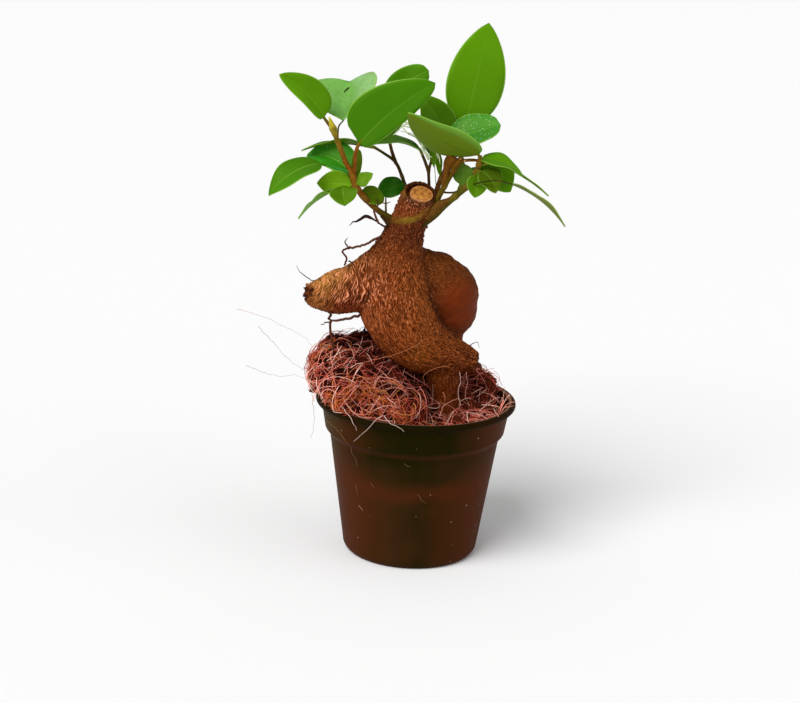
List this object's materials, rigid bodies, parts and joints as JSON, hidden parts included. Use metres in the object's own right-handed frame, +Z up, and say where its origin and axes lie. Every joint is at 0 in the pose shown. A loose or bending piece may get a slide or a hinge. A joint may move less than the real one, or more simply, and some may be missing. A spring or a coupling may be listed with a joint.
{
  "type": "potted ginseng ficus bonsai",
  "caption": "Small bonsai with swollen, twisted root trunk, sawn top and leafy stems, standing in root-bound coir in a round black nursery pot.",
  "frame": {"origin": "centre of the pot's flat foot, on the surface that it stands on", "axes": "+Z up, -Y towards the front, +X to the right seen from the front"},
  "size_m": [0.091, 0.0652, 0.169],
  "materials": {
    "pot_plastic": "thin black-green moulded plastic with a soft sheen",
    "coir": "loose red-brown coconut fibre and peat",
    "bark": "orange-brown root bark with fine lengthwise ridges",
    "foliage": "leathery green leaves, glossy on their upper faces, on brown stems"
  },
  "bodies": {
    "root": {"pot": "pot_plastic", "soil": "coir", "trunk": "bark", "branch_left": "foliage", "branch_back_left": "foliage", "branch_back_mid": "foliage", "branch_right_back": "foliage", "branch_right_mid": "foliage", "branch_right_front": "foliage"}
  },
  "joints": []
}
